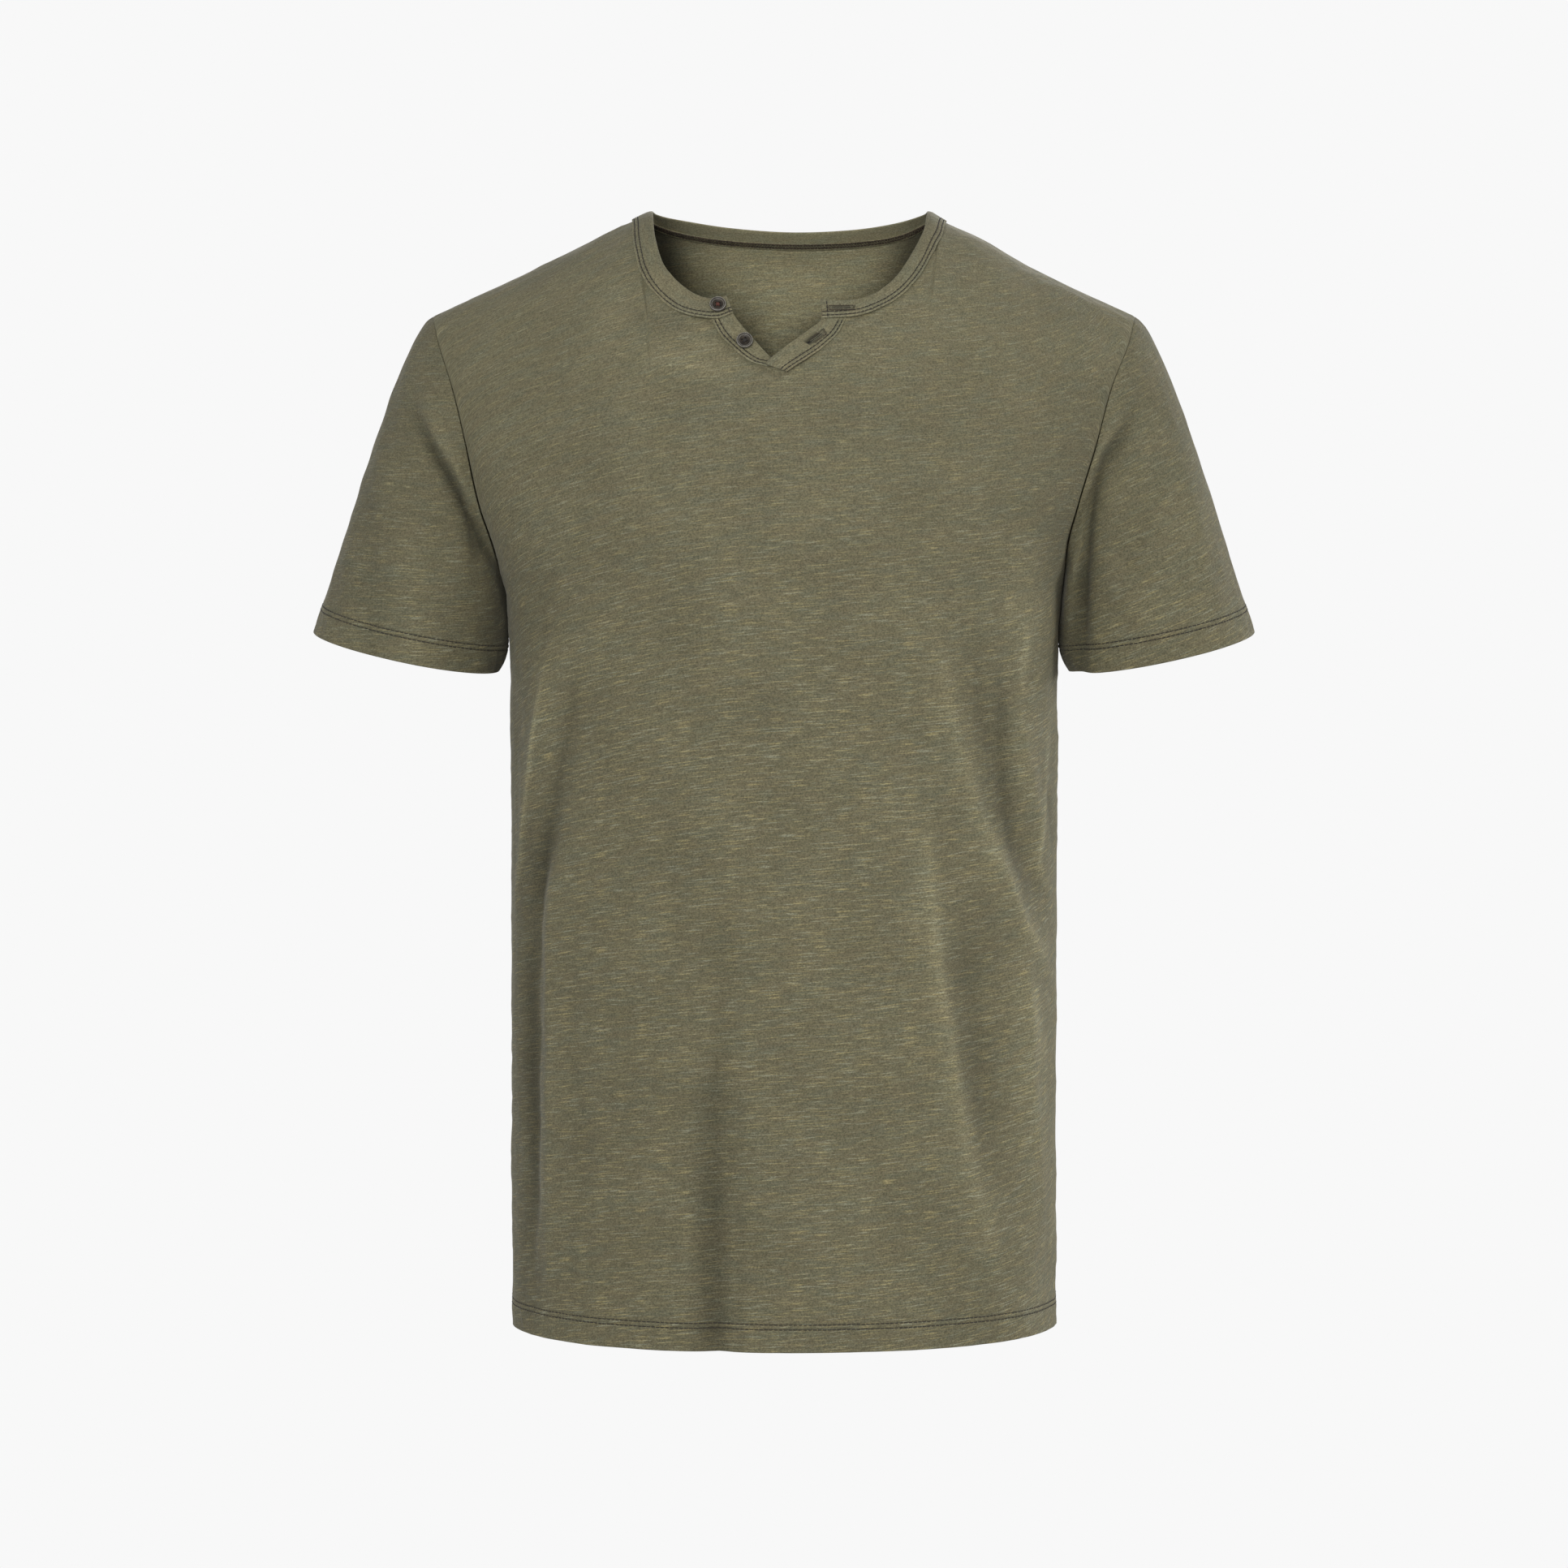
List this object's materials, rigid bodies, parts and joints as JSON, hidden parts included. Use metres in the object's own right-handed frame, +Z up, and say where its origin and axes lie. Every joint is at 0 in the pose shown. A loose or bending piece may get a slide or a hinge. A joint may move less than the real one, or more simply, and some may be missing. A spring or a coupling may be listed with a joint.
{
  "type": "henley shirt",
  "caption": "Short-sleeved pullover shirt in slub jersey with a narrow neckband and a short open buttoned placket, filled out as worn with open neck, cuffs and hem.",
  "frame": {"origin": "midway between the two high points of the shoulders, where they meet the neckband's inner edge", "axes": "+Z up from the hem to the shoulders, +Y towards the wearer's back, +X towards the wearer's left"},
  "size_m": [0.6006, 0.2479, 0.7114],
  "materials": {
    "slub_jersey": "matte washed slub jersey with fine level streaks",
    "dark_button": "satin, dark dished middle with a paler worn rim"
  },
  "bodies": {
    "root": {"front": "slub_jersey", "back": "slub_jersey", "sleeve_right": "slub_jersey", "sleeve_left": "slub_jersey", "neckband": "slub_jersey", "placket_button": "slub_jersey", "placket_buttonhole": "slub_jersey", "button_upper": "dark_button", "button_lower": "dark_button"}
  },
  "joints": []
}
